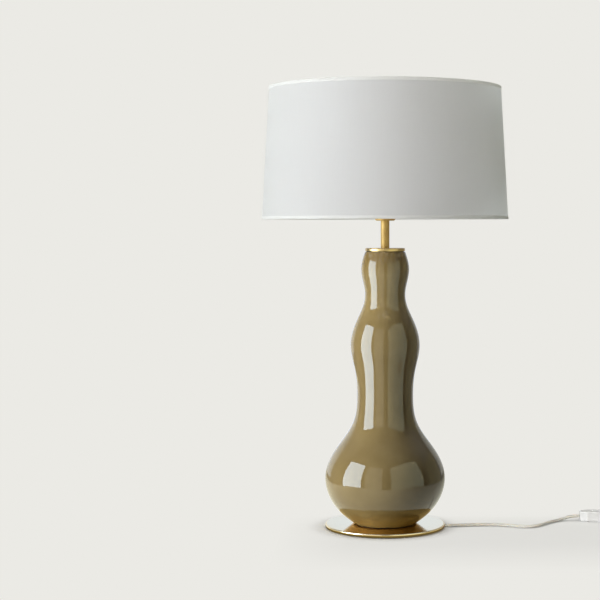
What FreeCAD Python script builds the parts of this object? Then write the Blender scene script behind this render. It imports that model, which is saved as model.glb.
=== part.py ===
import FreeCAD, Part
import math
import os
from FreeCAD import Vector

# A table lamp: a hollow glazed body with three swellings stands on a thin round brass plate.
# A hollow threaded rod ties plate, body, brass cap and brass stem together, from the hub under
# the body to the lampholder. A tapered drum shade sits on the lampholder with its wire frame.
# The cord leaves the plate towards +X, with a switch on it, a coil and a plug.
# Millimetres, +Z up. The origin is on the table, on the axis of the lamp.

# Base plate, the pad under it and the cord's way through them
pad_thickness = 1.5
pad_inset = 5.0
plate_inset = 0.1  # the plate is this much smaller than the belly, all round
plate_thickness = 5.5
plate_edge_round = 0.8
cord_diameter = 5.0
cord_lift = 0.1  # the cord's skin above the table
channel_side_gap = 0.7
channel_head_gap = 0.4
bush_length = 8.0
bush_setback = 1.5
bush_side_wall = 1.6
bush_top_wall = 0.7

# Hub that holds the rod, and its screws and nut
hub_flange_radius = 28.0
hub_flange_thickness = 4.0
hub_wall = 3.5
hub_hollow_radius = 11.0
hub_hollow_height = 10.0
hub_thread_length = 9.0
hub_screw_count = 3
hub_screw_circle = 20.5
hub_screw_first_angle = 60.0
hub_screw_radius = 2.0
hub_screw_head_radius = 3.8
hub_screw_head_height = 2.0
nut_across_flats = 14.0
nut_thickness = 3.0

# Tie rod, M10
rod_radius = 5.0
rod_bore_radius = 3.8
thread_gap = 0.05
rod_end_gap = 0.5
seat_gap = 0.3  # between pieces that rest on each other across a joint

# Body: radius and height of each turning point of the outline
foot_gasket_thickness = 0.8
foot_gasket_width = 9.0
gasket_inset = 2.0
foot_radius = 50.5
belly_radius = 97.0
belly_height = 80.5
waist_radius = 45.5
waist_height = 213.0
middle_radius = 56.3
middle_height = 294.5
upper_waist_radius = 32.8
upper_waist_height = 377.5
top_swell_radius = 39.15
top_swell_height = 418.5
neck_radius = 32.7
neck_rise = 28.5  # above the top swelling
body_wall = 5.0
body_floor = 6.0
mouth_radius = 22.0
fit_gap = 0.3

# Brass cap and stem
neck_gasket_thickness = 0.6
cap_radius = 32.4
cap_thickness = 5.4
cap_edge_round = 1.6
cap_spigot_depth = 3.5
stem_radius = 7.0
stem_length = 44.5
bore_gap = 0.2

# Lampholder for an E27 bulb
cup_foot_radius = 14.6
cup_radius = 19.4
cup_height = 19.0
cup_wall = 1.0
cup_floor = 2.4
cup_foot_bevel = 1.6
cup_cone_height = 7.6
cup_boss_radius = 8.5
cup_boss_height = 9.5
cup_grub_radius = 1.5
sleeve_thread_radius = 19.75
sleeve_skirt = 6.0
sleeve_skirt_wall = 0.9
sleeve_height = 34.5
sleeve_lip = 2.0
flange_rise = 2.5
flange_thickness = 3.0
flange_radius = 22.8
core_thickness = 16.0
core_gap = 0.4
core_drop = 2.0  # the core starts this far below the cup's rim
terminal_side = 5.0
terminal_height = 6.0
terminal_offset = 8.5
terminal_screw_radius = 1.3
terminal_screw_length = 3.5
terminal_screw_stand = 1.5
contact_radius = 3.2
contact_height = 1.6
shell_wall = 0.4
shell_height = 18.0
core_wire_radius = 1.1
wire_end_rise = 2.0  # the cord ends this far above the rod

# Bulb, A60 with E27 cap
bulb_cap_radius = 13.1
bulb_thread_depth = 0.7
bulb_thread_pitch = 3.6
bulb_thread_turns = 5
bulb_tip_radius = 4.5
bulb_tip_height = 2.0
bulb_insulator_height = 3.0
bulb_insulator_radius = 10.0
bulb_gap = 0.4
bulb_radius = 30.0
bulb_length = 108.0
bulb_housing_length = 27.3  # from the cap to the globe
bulb_cap_collar = 3.0
bulb_thread_start = 1.0
bulb_neck_step = 0.6
bulb_glass = 1.2

# Shade, its wire frame and clamping ring
carrier_gap = 0.1
carrier_rise = 0.2  # above the flange
carrier_width = 4.2
carrier_thickness = 2.0
clamp_ring_width = 5.2
clamp_ring_height = 6.0
clamp_ring_notches = 12
clamp_ring_notch = 1.2
shade_drop = 22.2  # the carrier ring stands this far above the shade's lower edge
shade_bottom_radius = 200.0
shade_taper = 11.5  # the top radius is this much smaller
shade_height = 214.0
trim_thickness = 0.5
trim_band = 4.8
fabric_thickness = 0.5
liner_thickness = 0.7
hoop_wire_radius = 1.6
arm_wire_radius = 1.6
arm_weld_depth = 0.6
hoop_gap = 0.05
arm_count = 3
arm_first_angle = 90.0

# The lead's route on the table, from the plate to the switch, (x, y) of each point
lead_route = [(116, 0), (150, 6), (185, 6.5), (211, -5.5), (228, -11.5), (244, -7), (256, 7), (275, 33), (291, 48)]
lead_end_run = 13.0  # straight before the switch

# The run's route after the switch, from the switch's end
run_start_run = 14.0
run_route = [(33, 3), (56, 4.5)]
run_end_run = 24.0  # straight before the coil
tail_first_run = 11.0
tail_last_run = 10.0

# Switch on the cord
switch_start = Vector(323.0, 54.0, 0.0)
switch_length = 62.0
switch_width = 24.0
switch_height = 16.0
switch_nose_width = 11.0
switch_nose_length = 11.0
switch_wall = 2.0
switch_round = 1.6
switch_screw_radius = 1.3
switch_screw_head_radius = 2.2
switch_post_radius = 2.8
switch_post_bite = 0.6  # how far the posts stand in the walls
rocker_length = 18.0
rocker_width = 12.0
rocker_end_height = 5.0
rocker_dip = 1.8
rocker_depth = 2.5
rocker_tilt = 7.0  # degrees each side of level; the rest place is one of them
rocker_pin_radius = 1.0
rocker_pin_height = 12.5
rocker_gap = 0.35
switch_wire_radius = 0.9
rocker_contact_length = 14.0
rocker_contact_width = 4.5
rocker_contact_thickness = 0.5
rocker_pin_play = 0.4
switch_terminal_size = Vector(6.0, 5.0, 6.2)
switch_terminal_offset = 11.0

# Coil of the cord that is put away, and the plug
coil_centre = Vector(505.0, 14.0, 0.0)
coil_outer_radius = 39.5
coil_pitch = 5.5
coil_half_turns = 7  # in each of the two layers
coil_climb_room = 2.8  # the wider step of the turn that passes the climb
plug_face = Vector(406.0, -26.4, 0.0)
plug_width = 35.3
plug_height = 13.7
plug_length = 36.0
plug_neck_width = 16.0
plug_corner = Vector(3.0, 4.0, 0.0)
plug_shoulder = 16.2
plug_round = 2.5
relief_length = 25.0
relief_large_radius = 4.8
relief_small_radius = 3.2
pin_radius = 2.0
pin_length = 19.0
pin_root = 8.0
pin_spacing = 18.6

# Places that follow from the sizes above
plate_radius = belly_radius - plate_inset
cord_radius = cord_diameter / 2
cord_level = cord_radius + cord_lift
cord_bend_radius = 2 * cord_diameter
plate_bottom = pad_thickness
plate_top = plate_bottom + plate_thickness
channel_top = cord_level + cord_radius + channel_head_gap
channel_half_width = cord_radius + channel_side_gap
hub_thread_low = plate_top + hub_hollow_height
hub_top = hub_thread_low + hub_thread_length
body_bottom = plate_top + foot_gasket_thickness
neck_height = top_swell_height + neck_rise
cap_bottom = neck_height + neck_gasket_thickness
cap_top = cap_bottom + cap_thickness
holder_base = cap_top + stem_length
cup_top = holder_base + cup_height
flange_bottom = cup_top + flange_rise
flange_top = flange_bottom + flange_thickness
sleeve_top = cup_top + sleeve_height
rod_bottom = hub_thread_low + rod_end_gap
rod_top = holder_base + cup_boss_height - rod_end_gap
core_bottom = cup_top - core_drop
core_top = core_bottom + core_thickness
contact_top = core_top + contact_height
shell_inner_radius = bulb_cap_radius + bulb_gap
shell_outer_radius = shell_inner_radius + shell_wall
bulb_bottom = contact_top + seat_gap
bulb_cap_low = bulb_bottom + bulb_tip_height + bulb_insulator_height
bulb_cap_high = bulb_cap_low + bulb_thread_pitch * bulb_thread_turns + bulb_cap_collar
bulb_top = bulb_bottom + bulb_length
bulb_centre = bulb_top - bulb_radius
carrier_bottom = flange_top + carrier_rise
carrier_inner_radius = sleeve_thread_radius + carrier_gap
carrier_outer_radius = carrier_inner_radius + carrier_width
clamp_ring_bottom = carrier_bottom + carrier_thickness + seat_gap
shade_bottom = carrier_bottom - shade_drop
shade_top = shade_bottom + shade_height
shade_top_radius = shade_bottom_radius - shade_taper
switch_middle = switch_height / 2
switch_end = switch_start + Vector(switch_length, 0, 0)
coil_upper_level = cord_level + coil_pitch
up = Vector(0, 0, 1)
origin = Vector(0, 0, 0)


# Shapes used by several pieces


def disc(radius, low, high):
    return Part.makeCylinder(radius, high - low, Vector(0, 0, low))


def ring(outer, inner, low, high):
    return disc(outer, low, high).cut(disc(inner, low - 1, high + 1))


def block(low, high):
    size = high - low
    return Part.makeBox(size.x, size.y, size.z, low)


def rod_between(start, end, radius):
    return Part.makeCylinder(radius, (end - start).Length, start, end - start)


def turned(profile):
    # A solid of revolution about Z, from its (radius, height) corners
    points = [Vector(radius, 0, height) for radius, height in profile]
    face = Part.Face(Part.makePolygon(points + points[:1]))
    return face.revolve(origin, up, 360)


def around(count, first=0.0):
    return [first + 360 * number / count for number in range(count)]


def polar(radius, angle, height):
    turn = math.radians(angle)
    return Vector(radius * math.cos(turn), radius * math.sin(turn), height)


def group(solids):
    return Part.makeCompound(solids)


def fillet_where(shape, radius, chosen):
    edges = [edge for edge in shape.Edges if chosen(edge)]
    return shape.makeFillet(radius, edges)


# Base


def base_pad():
    pad = ring(plate_radius - pad_inset, hub_hollow_radius + 1, 0, pad_thickness)
    return pad.cut(cord_channel(-1, pad_thickness + 1))


def cord_channel(low, high):
    half = channel_half_width
    return block(Vector(0, -half, low), Vector(plate_radius + 1, half, high))


def bush_pocket(gap):
    outer_end = plate_radius - bush_setback
    half = cord_radius + bush_side_wall + gap
    top = cord_level + cord_radius + bush_top_wall + gap
    return block(Vector(outer_end - bush_length - gap, -half, plate_bottom),
                 Vector(outer_end + gap, half, top))


def hub_screw_places():
    return [polar(hub_screw_circle, angle, plate_bottom)
            for angle in around(hub_screw_count, hub_screw_first_angle)]


def hub_screw(place, gap):
    head = Part.makeCone(hub_screw_head_radius + gap, hub_screw_radius + gap, hub_screw_head_height, place)
    end = plate_top + hub_flange_thickness - plate_bottom - rod_end_gap + gap
    return head.fuse(Part.makeCylinder(hub_screw_radius + gap, end, place)).removeSplitter()


def base_plate():
    plate = disc(plate_radius, plate_bottom, plate_top)
    plate = fillet_where(plate, plate_edge_round, lambda edge: edge.BoundBox.ZMin > plate_top - 0.01
                         and edge.BoundBox.ZLength < 0.01)
    plate = plate.cut(disc(hub_hollow_radius, plate_bottom - 1, plate_top + 1))
    plate = plate.cut(cord_channel(plate_bottom - 1, channel_top))
    plate = plate.cut(bush_pocket(thread_gap))
    for place in hub_screw_places():
        plate = plate.cut(hub_screw(place, thread_gap))
    return plate


def cord_bush():
    level = Vector(0, 0, cord_level)
    return bush_pocket(0).cut(rod_between(level, level + Vector(plate_radius, 0, 0),
                                          cord_radius + thread_gap))


def base_hub():
    cup_radius_outside = hub_hollow_radius + hub_wall
    hub = turned([(rod_radius + thread_gap, hub_thread_low), (rod_radius + thread_gap, hub_top),
                  (cup_radius_outside, hub_top), (cup_radius_outside, plate_top + hub_flange_thickness),
                  (hub_flange_radius, plate_top + hub_flange_thickness), (hub_flange_radius, plate_top),
                  (hub_hollow_radius, plate_top), (hub_hollow_radius, hub_thread_low)])
    for place in hub_screw_places():
        hub = hub.cut(hub_screw(place, thread_gap))
    return hub


def hub_screws():
    return group([hub_screw(place, 0) for place in hub_screw_places()])


def lock_nut():
    corner = nut_across_flats / 2 / math.cos(math.radians(30))
    points = [polar(corner, angle, hub_top) for angle in around(6)]
    nut = Part.Face(Part.makePolygon(points + points[:1])).extrude(up * nut_thickness)
    return nut.cut(disc(rod_radius + thread_gap, hub_top - 1, hub_top + nut_thickness + 1))


def tie_rod():
    return ring(rod_radius, rod_bore_radius, rod_bottom, rod_top)


# Body


def share(start, end, out, along):
    return (start[0] + (end[0] - start[0]) * out, start[1] + (end[1] - start[1]) * along)


def body_stations():
    # (radius, height) of each turning point, with shares between them for the flanks
    foot = (foot_radius, body_bottom)
    belly = (belly_radius, belly_height)
    waist = (waist_radius, waist_height)
    middle = (middle_radius, middle_height)
    upper_waist = (upper_waist_radius, upper_waist_height)
    top_swell = (top_swell_radius, top_swell_height)
    return [foot, share(foot, belly, 0.62, 0.35),
            belly, share(belly, waist, 0.22, 0.28), share(belly, waist, 0.89, 0.69),
            waist, share(waist, middle, 0.33, 0.51),
            middle, share(middle, upper_waist, 0.42, 0.49), share(middle, upper_waist, 0.91, 0.82),
            upper_waist, share(upper_waist, top_swell, 0.62, 0.58),
            top_swell, (neck_radius, neck_height)]


def body_curve(depth):
    # The outline, or a curve that lies depth inside it
    points = [Vector(radius, 0, height) for radius, height in body_stations()]
    outline = Part.BSplineCurve()
    outline.interpolate(points)
    if depth == 0:
        return outline
    inside = []
    for point in points:
        along = outline.tangent(outline.parameter(point))[0]
        inside.append(point - Vector(along.z, 0, -along.x).normalize() * depth)
    curve = Part.BSplineCurve()
    curve.interpolate(inside)
    return curve


def turned_curve(curve):
    low, high = curve.StartPoint, curve.EndPoint
    foot, head = Vector(0, 0, low.z), Vector(0, 0, high.z)
    edges = [curve.toShape(), Part.makeLine(high, head), Part.makeLine(head, foot), Part.makeLine(foot, low)]
    return Part.Face(Part.Wire(edges)).revolve(origin, up, 360)


def body_shell():
    wide = 2 * belly_radius
    cavity = turned_curve(body_curve(body_wall))
    cavity = cavity.common(disc(wide, body_bottom + body_floor, neck_height - body_wall))
    shell = turned_curve(body_curve(0)).cut(cavity)
    shell = shell.cut(disc(hub_flange_radius + fit_gap, body_bottom - 1, body_bottom + body_floor + 1))
    return shell.cut(disc(mouth_radius, neck_height - body_wall - 1, neck_height + 1))


def foot_gasket():
    outer = foot_radius - gasket_inset
    return ring(outer, outer - foot_gasket_width, plate_top, body_bottom)


def neck_gasket():
    return ring(neck_radius - gasket_inset, mouth_radius, neck_height, cap_bottom)


def top_cap():
    bore = rod_radius + bore_gap
    spigot = mouth_radius - fit_gap
    cap = turned([(bore, cap_bottom - cap_spigot_depth), (spigot, cap_bottom - cap_spigot_depth),
                  (spigot, cap_bottom), (cap_radius, cap_bottom), (cap_radius, cap_top), (bore, cap_top)])
    return fillet_where(cap, cap_edge_round, lambda edge: edge.BoundBox.XMax > cap_radius - 0.01
                        and edge.BoundBox.ZLength < 0.01)


def stem_tube():
    return ring(stem_radius, rod_radius + bore_gap, cap_top, holder_base)


# Lampholder


def holder_cup():
    inner = rod_radius + thread_gap
    shoulder = holder_base + cup_cone_height
    floor = holder_base + cup_floor
    boss_top = holder_base + cup_boss_height
    outside = [(inner, holder_base), (cup_foot_radius, holder_base),
               (cup_foot_radius + cup_foot_bevel, holder_base + cup_foot_bevel),
               (cup_radius, shoulder), (cup_radius, cup_top)]
    inside = [(cup_radius - cup_wall, cup_top), (cup_radius - cup_wall, shoulder + cup_wall / 2),
              (cup_foot_radius, floor), (cup_boss_radius, floor),
              (cup_boss_radius, boss_top), (inner, boss_top)]
    level = Vector(rod_radius, 0, boss_top - 2 * cup_grub_radius)
    return turned(outside + inside).cut(rod_between(level, level + Vector(cup_boss_radius, 0, 0), cup_grub_radius))


def grub_screw():
    level = Vector(rod_radius + thread_gap, 0, holder_base + cup_boss_height - 2 * cup_grub_radius)
    return rod_between(level, level + Vector(cup_boss_radius - rod_radius, 0, 0), cup_grub_radius - thread_gap)


def holder_sleeve():
    skirt = cup_radius - cup_wall - thread_gap
    lip = shell_outer_radius + seat_gap
    skirt_inner = skirt - sleeve_skirt_wall
    return turned([(skirt_inner, cup_top - sleeve_skirt), (skirt, cup_top - sleeve_skirt), (skirt, cup_top),
                   (sleeve_thread_radius, cup_top), (sleeve_thread_radius, flange_bottom),
                   (flange_radius, flange_bottom), (flange_radius, flange_top),
                   (sleeve_thread_radius, flange_top), (sleeve_thread_radius, sleeve_top),
                   (lip, sleeve_top), (lip, sleeve_top - sleeve_lip),
                   (skirt_inner, sleeve_top - sleeve_lip)])


def terminal_block(side):
    low = Vector(side * terminal_offset - terminal_side / 2, -terminal_side / 2, core_bottom - terminal_height / 2)
    return block(low, low + Vector(terminal_side, terminal_side, terminal_height))


def terminal_screw(side):
    place = Vector(side * terminal_offset, -terminal_side / 2 - terminal_screw_stand,
                   core_bottom - terminal_height / 4)
    return Part.makeCylinder(terminal_screw_radius, terminal_screw_length, place, Vector(0, 1, 0))


def holder_core():
    radius = cup_radius - cup_wall - thread_gap - sleeve_skirt_wall - core_gap
    core = disc(radius, core_bottom, core_top)
    for side in (-1, 1):
        core = core.cut(terminal_block(side))
    return core.cut(disc(contact_radius / 2, core_bottom - 1, core_top + 1))


def holder_terminals():
    return group([terminal_block(side).cut(terminal_screw(side)) for side in (-1, 1)])


def terminal_screws():
    return group([terminal_screw(side) for side in (-1, 1)])


def centre_contact():
    head = disc(contact_radius, core_top, contact_top)
    return head.fuse(disc(contact_radius / 2 - thread_gap, core_bottom, core_top)).removeSplitter()


def screw_shell():
    return ring(shell_outer_radius, shell_inner_radius, core_top, core_top + shell_height)


# Bulb


def bulb_tip():
    return disc(bulb_tip_radius, bulb_bottom, bulb_bottom + bulb_tip_height)


def bulb_insulator():
    low = bulb_bottom + bulb_tip_height
    return turned([(0, low), (bulb_tip_radius, low), (bulb_insulator_radius, bulb_cap_low), (0, bulb_cap_low)])


def bulb_cap():
    profile = [(0, bulb_cap_low), (bulb_insulator_radius, bulb_cap_low)]
    for number in range(bulb_thread_turns):
        low = bulb_cap_low + bulb_thread_start + number * bulb_thread_pitch
        profile.append((bulb_cap_radius - bulb_thread_depth, low))
        profile.append((bulb_cap_radius, low + 0.35 * bulb_thread_pitch))
        profile.append((bulb_cap_radius, low + 0.65 * bulb_thread_pitch))
    profile.append((bulb_cap_radius - bulb_thread_depth, bulb_cap_high - bulb_cap_collar / 2))
    profile.append((bulb_cap_radius - bulb_thread_depth, bulb_cap_high))
    return turned(profile + [(0, bulb_cap_high)])


def bulb_join_radius(height):
    # The flank from the cap to the globe, a smooth S
    along = (height - bulb_cap_high) / (bulb_centre - bulb_cap_high)
    rise = (1 - math.cos(math.pi * along)) / 2
    neck = bulb_cap_radius + bulb_neck_step
    return neck + (bulb_radius - neck) * rise


def bulb_housing():
    high = bulb_cap_high + bulb_housing_length
    steps = 6
    heights = [bulb_cap_high + (high - bulb_cap_high) * step / steps for step in range(steps + 1)]
    flank = Part.BSplineCurve()
    flank.interpolate([Vector(bulb_join_radius(height), 0, height) for height in heights])
    return turned_curve(flank)


def bulb_globe():
    low = bulb_cap_high + bulb_housing_length
    return globe_solid(low, 0).cut(globe_solid(low - 1, bulb_glass))


def globe_solid(low, depth):
    # The globe's lower flank, then its round crown
    steps = 4
    start = max(low, bulb_cap_high)
    heights = [start + (bulb_centre - start) * step / steps for step in range(steps + 1)]
    flank = Part.BSplineCurve()
    flank.interpolate([Vector(bulb_join_radius(height) - depth, 0, height) for height in heights])
    radius = bulb_radius - depth
    crown_start, crown_end = Vector(radius, 0, bulb_centre), Vector(0, 0, bulb_centre + radius)
    crown_middle = Vector(radius * math.cos(math.pi / 4), 0, bulb_centre + radius * math.sin(math.pi / 4))
    first = flank.StartPoint
    foot = Vector(0, 0, first.z)
    edges = [flank.toShape(), Part.Arc(crown_start, crown_middle, crown_end).toShape(),
             Part.makeLine(crown_end, foot), Part.makeLine(foot, first)]
    return Part.Face(Part.Wire(edges)).revolve(origin, up, 360)


# Shade


def shade_radius(height, depth):
    # Radius of the tapered wall at a height, depth inside the trim's outer face
    along = (height - shade_bottom) / shade_height
    return shade_bottom_radius + (shade_top_radius - shade_bottom_radius) * along - depth


def shade_band(low, high, depth, thickness):
    return turned([(shade_radius(low, depth + thickness), low), (shade_radius(low, depth), low),
                   (shade_radius(high, depth), high), (shade_radius(high, depth + thickness), high)])


def shade_fabric():
    return shade_band(shade_bottom + trim_thickness, shade_top - trim_thickness, trim_thickness, fabric_thickness)


def shade_liner():
    depth = trim_thickness + fabric_thickness
    return shade_band(shade_bottom + trim_thickness, shade_top - trim_thickness, depth, liner_thickness)


def hoop_depth():
    return trim_thickness + fabric_thickness + liner_thickness + hoop_wire_radius + hoop_gap


def hoop(level):
    return Part.makeTorus(shade_radius(level, hoop_depth()), hoop_wire_radius, Vector(0, 0, level), up)


def shade_trim(edge, inward):
    # A tape folded over the shade's edge: a band outside and a lip across to the hoop
    fold = edge + inward * trim_thickness
    band_end = edge + inward * trim_band
    lip_depth = hoop_depth() + hoop_wire_radius
    low, high = sorted((fold, band_end))
    band = shade_band(low, high, 0, trim_thickness)
    low, high = sorted((edge, fold))
    return band.fuse(shade_band(low, high, 0, lip_depth)).removeSplitter()


def bottom_hoop_level():
    return shade_bottom + trim_thickness + hoop_wire_radius


def shade_frame():
    # Lower hoop, carrier ring and the arms between them, welded into one
    frame = hoop(bottom_hoop_level())
    carrier_top = carrier_bottom + carrier_thickness
    arm_level = carrier_top - arm_wire_radius
    carrier = ring(carrier_outer_radius, carrier_inner_radius, carrier_bottom, carrier_top)
    outer = shade_radius(bottom_hoop_level(), hoop_depth())
    for angle in around(arm_count, arm_first_angle):
        arm = rod_between(polar(carrier_outer_radius - arm_weld_depth, angle, arm_level),
                          polar(outer, angle, bottom_hoop_level()), arm_wire_radius)
        frame = frame.fuse(arm)
    return frame.fuse(carrier).removeSplitter()


def clamp_ring():
    inner = sleeve_thread_radius + thread_gap
    outer = carrier_inner_radius + clamp_ring_width
    nut = ring(outer, inner, clamp_ring_bottom, clamp_ring_bottom + clamp_ring_height)
    for angle in around(clamp_ring_notches):
        nut = nut.cut(Part.makeCylinder(clamp_ring_notch, clamp_ring_height + 2,
                                        polar(outer, angle, clamp_ring_bottom - 1)))
    return nut


# Cord


def rounded_path(points):
    # Straight runs joined by tangent arcs, each as large as its two runs allow
    edges = []
    radii = []
    start = points[0]
    for before, corner, after in zip(points, points[1:], points[2:]):
        back = before - corner
        ahead = after - corner
        cut = 0.45 * min(back.Length, ahead.Length)
        half_turn = (math.pi - back.getAngle(ahead)) / 2
        back.normalize()
        ahead.normalize()
        radius = cut / math.tan(half_turn)
        inward = (back + ahead).normalize()
        centre = corner + inward * (radius / math.cos(half_turn))
        first = corner + back * cut
        last = corner + ahead * cut
        edges.append(Part.LineSegment(start, first).toShape())
        edges.append(Part.Arc(first, centre - inward * radius, last).toShape())
        radii.append(radius)
        start = last
    edges.append(Part.LineSegment(start, points[-1]).toShape())
    return Part.Wire(edges), radii


def tube_along(wire, radius):
    first = wire.OrderedEdges[0]
    start = first.valueAt(first.FirstParameter)
    direction = first.tangentAt(first.FirstParameter)
    profile = Part.Wire(Part.makeCircle(radius, start, direction))
    return wire.makePipeShell([profile], True, False)


def cord_tube(name, points):
    wire, radii = rounded_path(points)
    tube = tube_along(wire, cord_radius)
    expected = math.pi * cord_radius ** 2 * wire.Length
    print(name, "length", round(wire.Length, 1), "radii", [round(radius, 1) for radius in radii],
          "volume over section times length", round(tube.Volume / expected, 4))
    return tube


def inner_cord():
    # Along the plate's channel, up through the hub and the rod, to the lampholder
    bend = cord_bend_radius
    rim = Vector(plate_radius, 0, cord_level)
    bend_start = Vector(bend, 0, cord_level)
    centre = Vector(bend, 0, cord_level + bend)
    bend_middle = centre - Vector(1, 0, 1).normalize() * bend
    bend_end = Vector(0, 0, cord_level + bend)
    top = Vector(0, 0, rod_top + wire_end_rise)
    wire = Part.Wire([Part.LineSegment(rim, bend_start).toShape(),
                      Part.Arc(bend_start, bend_middle, bend_end).toShape(),
                      Part.LineSegment(bend_end, top).toShape()])
    return tube_along(wire, cord_radius)


def core_wires():
    # Two insulated cores from the cord's end to the terminals
    wires = []
    for side in (-1, 1):
        start = Vector(side * cord_radius / 2, 0, rod_top + wire_end_rise)
        end = Vector(side * terminal_offset, 0, core_bottom - terminal_height / 2)
        wires.append(rod_between(start, end, core_wire_radius).cut(terminal_block(side)).cut(inner_cord()))
    return group(wires)


def lead_points():
    points = [Vector(plate_radius, 0, cord_level)]
    points += [Vector(x, y, cord_level) for x, y in lead_route]
    points.append(switch_start + Vector(-lead_end_run, 0, switch_middle))
    points.append(switch_start + Vector(switch_nose_length, 0, switch_middle))
    return points


def run_points():
    coil_start = coil_centre + Vector(-cord_diameter, coil_outer_radius, cord_level)
    points = [switch_end + Vector(-switch_nose_length, 0, switch_middle),
              switch_end + Vector(run_start_run, 0, switch_middle)]
    points += [switch_end + Vector(x, y, cord_level) for x, y in run_route]
    return points + [coil_start + Vector(-run_end_run, 0, 0), coil_start]


def tail_points():
    last_reach = coil_reaches()[1][-1]
    start = coil_centre + Vector(-cord_diameter, -last_reach, coil_upper_level)
    relief_end = plug_face + Vector(plug_length + relief_length, 0, plug_height / 2)
    return [start, start + Vector(-tail_first_run, 0, 0), relief_end + Vector(tail_last_run, 0, 0), relief_end]


def tangent_arc(start, direction, end):
    # The arc that leaves start along direction and ends at end
    chord = end - start
    side = chord - direction * chord.dot(direction)
    side.normalize()
    radius = chord.dot(chord) / (2 * chord.dot(side))
    centre = start + side * radius
    outward = ((start + end) * 0.5 - centre).normalize()
    return Part.Arc(start, centre + outward * radius, end)


def half_turn_arcs(start, direction, end):
    # Two quarter turns that share a tangent, from start round to end, which faces back
    middle = (start + end) * 0.5 + direction * ((end - start).Length / 2)
    first = tangent_arc(start, direction, middle)
    second = tangent_arc(end, direction, middle)
    second_middle = second.value((second.FirstParameter + second.LastParameter) / 2)
    return [first.toShape(), Part.Arc(middle, second_middle, end).toShape()]


def coil_reaches():
    # How far from the middle each half turn starts: in along the lower layer, then out again
    step = coil_pitch / 2
    inward = [coil_outer_radius - number * step for number in range(coil_half_turns + 1)]
    innermost = inward[-1]
    outward = [innermost + coil_climb_room + number * step for number in range(coil_half_turns)]
    return inward, [innermost - step] + outward


def coil_path():
    # The path climbs a layer in the half turn where the spiral reverses
    inward, outward = coil_reaches()
    levels = [cord_level] * len(inward) + [coil_upper_level] * len(outward)
    side = 1
    corners = []
    for reach, level in zip(inward + outward, levels):
        corners.append(coil_centre + Vector(0, side * reach, level))
        side = -side
    straight = Vector(cord_diameter, 0, 0)
    edges = [Part.LineSegment(corners[0] - straight, corners[0]).toShape()]
    direction = Vector(1, 0, 0)
    for start, end in zip(corners, corners[1:]):
        edges += half_turn_arcs(start, direction, end)
        direction = direction * -1
    edges.append(Part.LineSegment(corners[-1], corners[-1] - straight).toShape())
    return Part.Wire(edges)


def least_gap(wire):
    # The least clear space between turns, measured on points along the centre line
    points = wire.discretize(Distance=2.5)
    skip = 12
    least = wire.Length
    for number, point in enumerate(points):
        for other in points[number + skip:]:
            least = min(least, point.distanceToPoint(other))
    return least - cord_diameter


def cord_coil():
    wire = coil_path()
    tube = tube_along(wire, cord_radius)
    expected = math.pi * cord_radius ** 2 * wire.Length
    print("cord_coil length", round(wire.Length, 1), "least gap", round(least_gap(wire), 2),
          "volume over section times length", round(tube.Volume / expected, 4))
    return tube


# Switch on the cord


def switch_half(low, high):
    # Half of the housing, seen from above a long box whose ends narrow to a nose
    nose, wide = switch_nose_width / 2, switch_width / 2
    shoulder = switch_nose_length
    far = switch_length
    outline = [(0, -nose), (shoulder, -wide), (far - shoulder, -wide), (far, -nose),
               (far, nose), (far - shoulder, wide), (shoulder, wide), (0, nose)]
    points = [switch_start + Vector(x, y, low) for x, y in outline]
    return Part.Face(Part.makePolygon(points + points[:1])).extrude(up * (high - low))


def switch_hollow():
    low = switch_start + Vector(switch_nose_length, -switch_width / 2 + switch_wall, switch_wall)
    high = switch_end + Vector(-switch_nose_length, switch_width / 2 - switch_wall, switch_height - switch_wall)
    return block(low, high)


def switch_cord_way():
    level = Vector(0, 0, switch_middle)
    return rod_between(switch_start + level, switch_end + level, cord_radius + thread_gap)


def switch_screw_places():
    reach = switch_post_radius - switch_post_bite
    inset = Vector(switch_nose_length + reach, switch_wall + reach - switch_width / 2, 0)
    return [switch_start + inset, switch_end - inset]


def switch_screw(place, gap):
    head = Part.makeCylinder(switch_screw_head_radius + gap, switch_wall * 0.75, place)
    return head.fuse(Part.makeCylinder(switch_screw_radius + gap, switch_height * 0.75, place)).removeSplitter()


def switch_housing(low, high, outer_level):
    housing = switch_half(low, high)
    housing = fillet_where(housing, switch_round, lambda edge: abs(edge.BoundBox.ZMin - outer_level) < 0.01
                           and edge.BoundBox.ZLength < 0.01)
    housing = housing.cut(switch_hollow())
    for place in switch_screw_places():
        housing = housing.fuse(Part.makeCylinder(switch_post_radius, high - low - switch_wall,
                                                 place + Vector(0, 0, max(low, switch_wall))))
    housing = housing.cut(switch_cord_way())
    for place in switch_screw_places():
        housing = housing.cut(switch_screw(place, thread_gap))
    return housing.removeSplitter()


def rocker_centre():
    return switch_start + Vector(switch_length / 2, 0, rocker_pin_height)


def rocker_reach():
    tilt = math.radians(rocker_tilt)
    return rocker_length / 2 * math.cos(tilt) + rocker_end_height * math.sin(tilt) + rocker_gap


def rocker_pin_at(radius, length):
    centre = rocker_centre()
    half = Vector(0, length / 2, 0)
    return rod_between(centre - half, centre + half, radius)


def switch_base():
    return switch_housing(0, switch_middle, 0)


def switch_cover():
    cover = switch_housing(switch_middle, switch_height, switch_height)
    centre = rocker_centre()
    reach = Vector(rocker_reach(), rocker_width / 2 + rocker_gap, 0)
    cover = cover.cut(block(centre - reach, centre + reach + up * switch_height))
    return cover.cut(rocker_pin_at(rocker_pin_radius + thread_gap, switch_width - switch_wall))


def rocker_pin():
    return rocker_pin_at(rocker_pin_radius, switch_width - switch_wall - rocker_pin_play)


def on_tilt(shape):
    shape.rotate(rocker_centre(), Vector(0, 1, 0), -rocker_tilt)
    return shape


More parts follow.
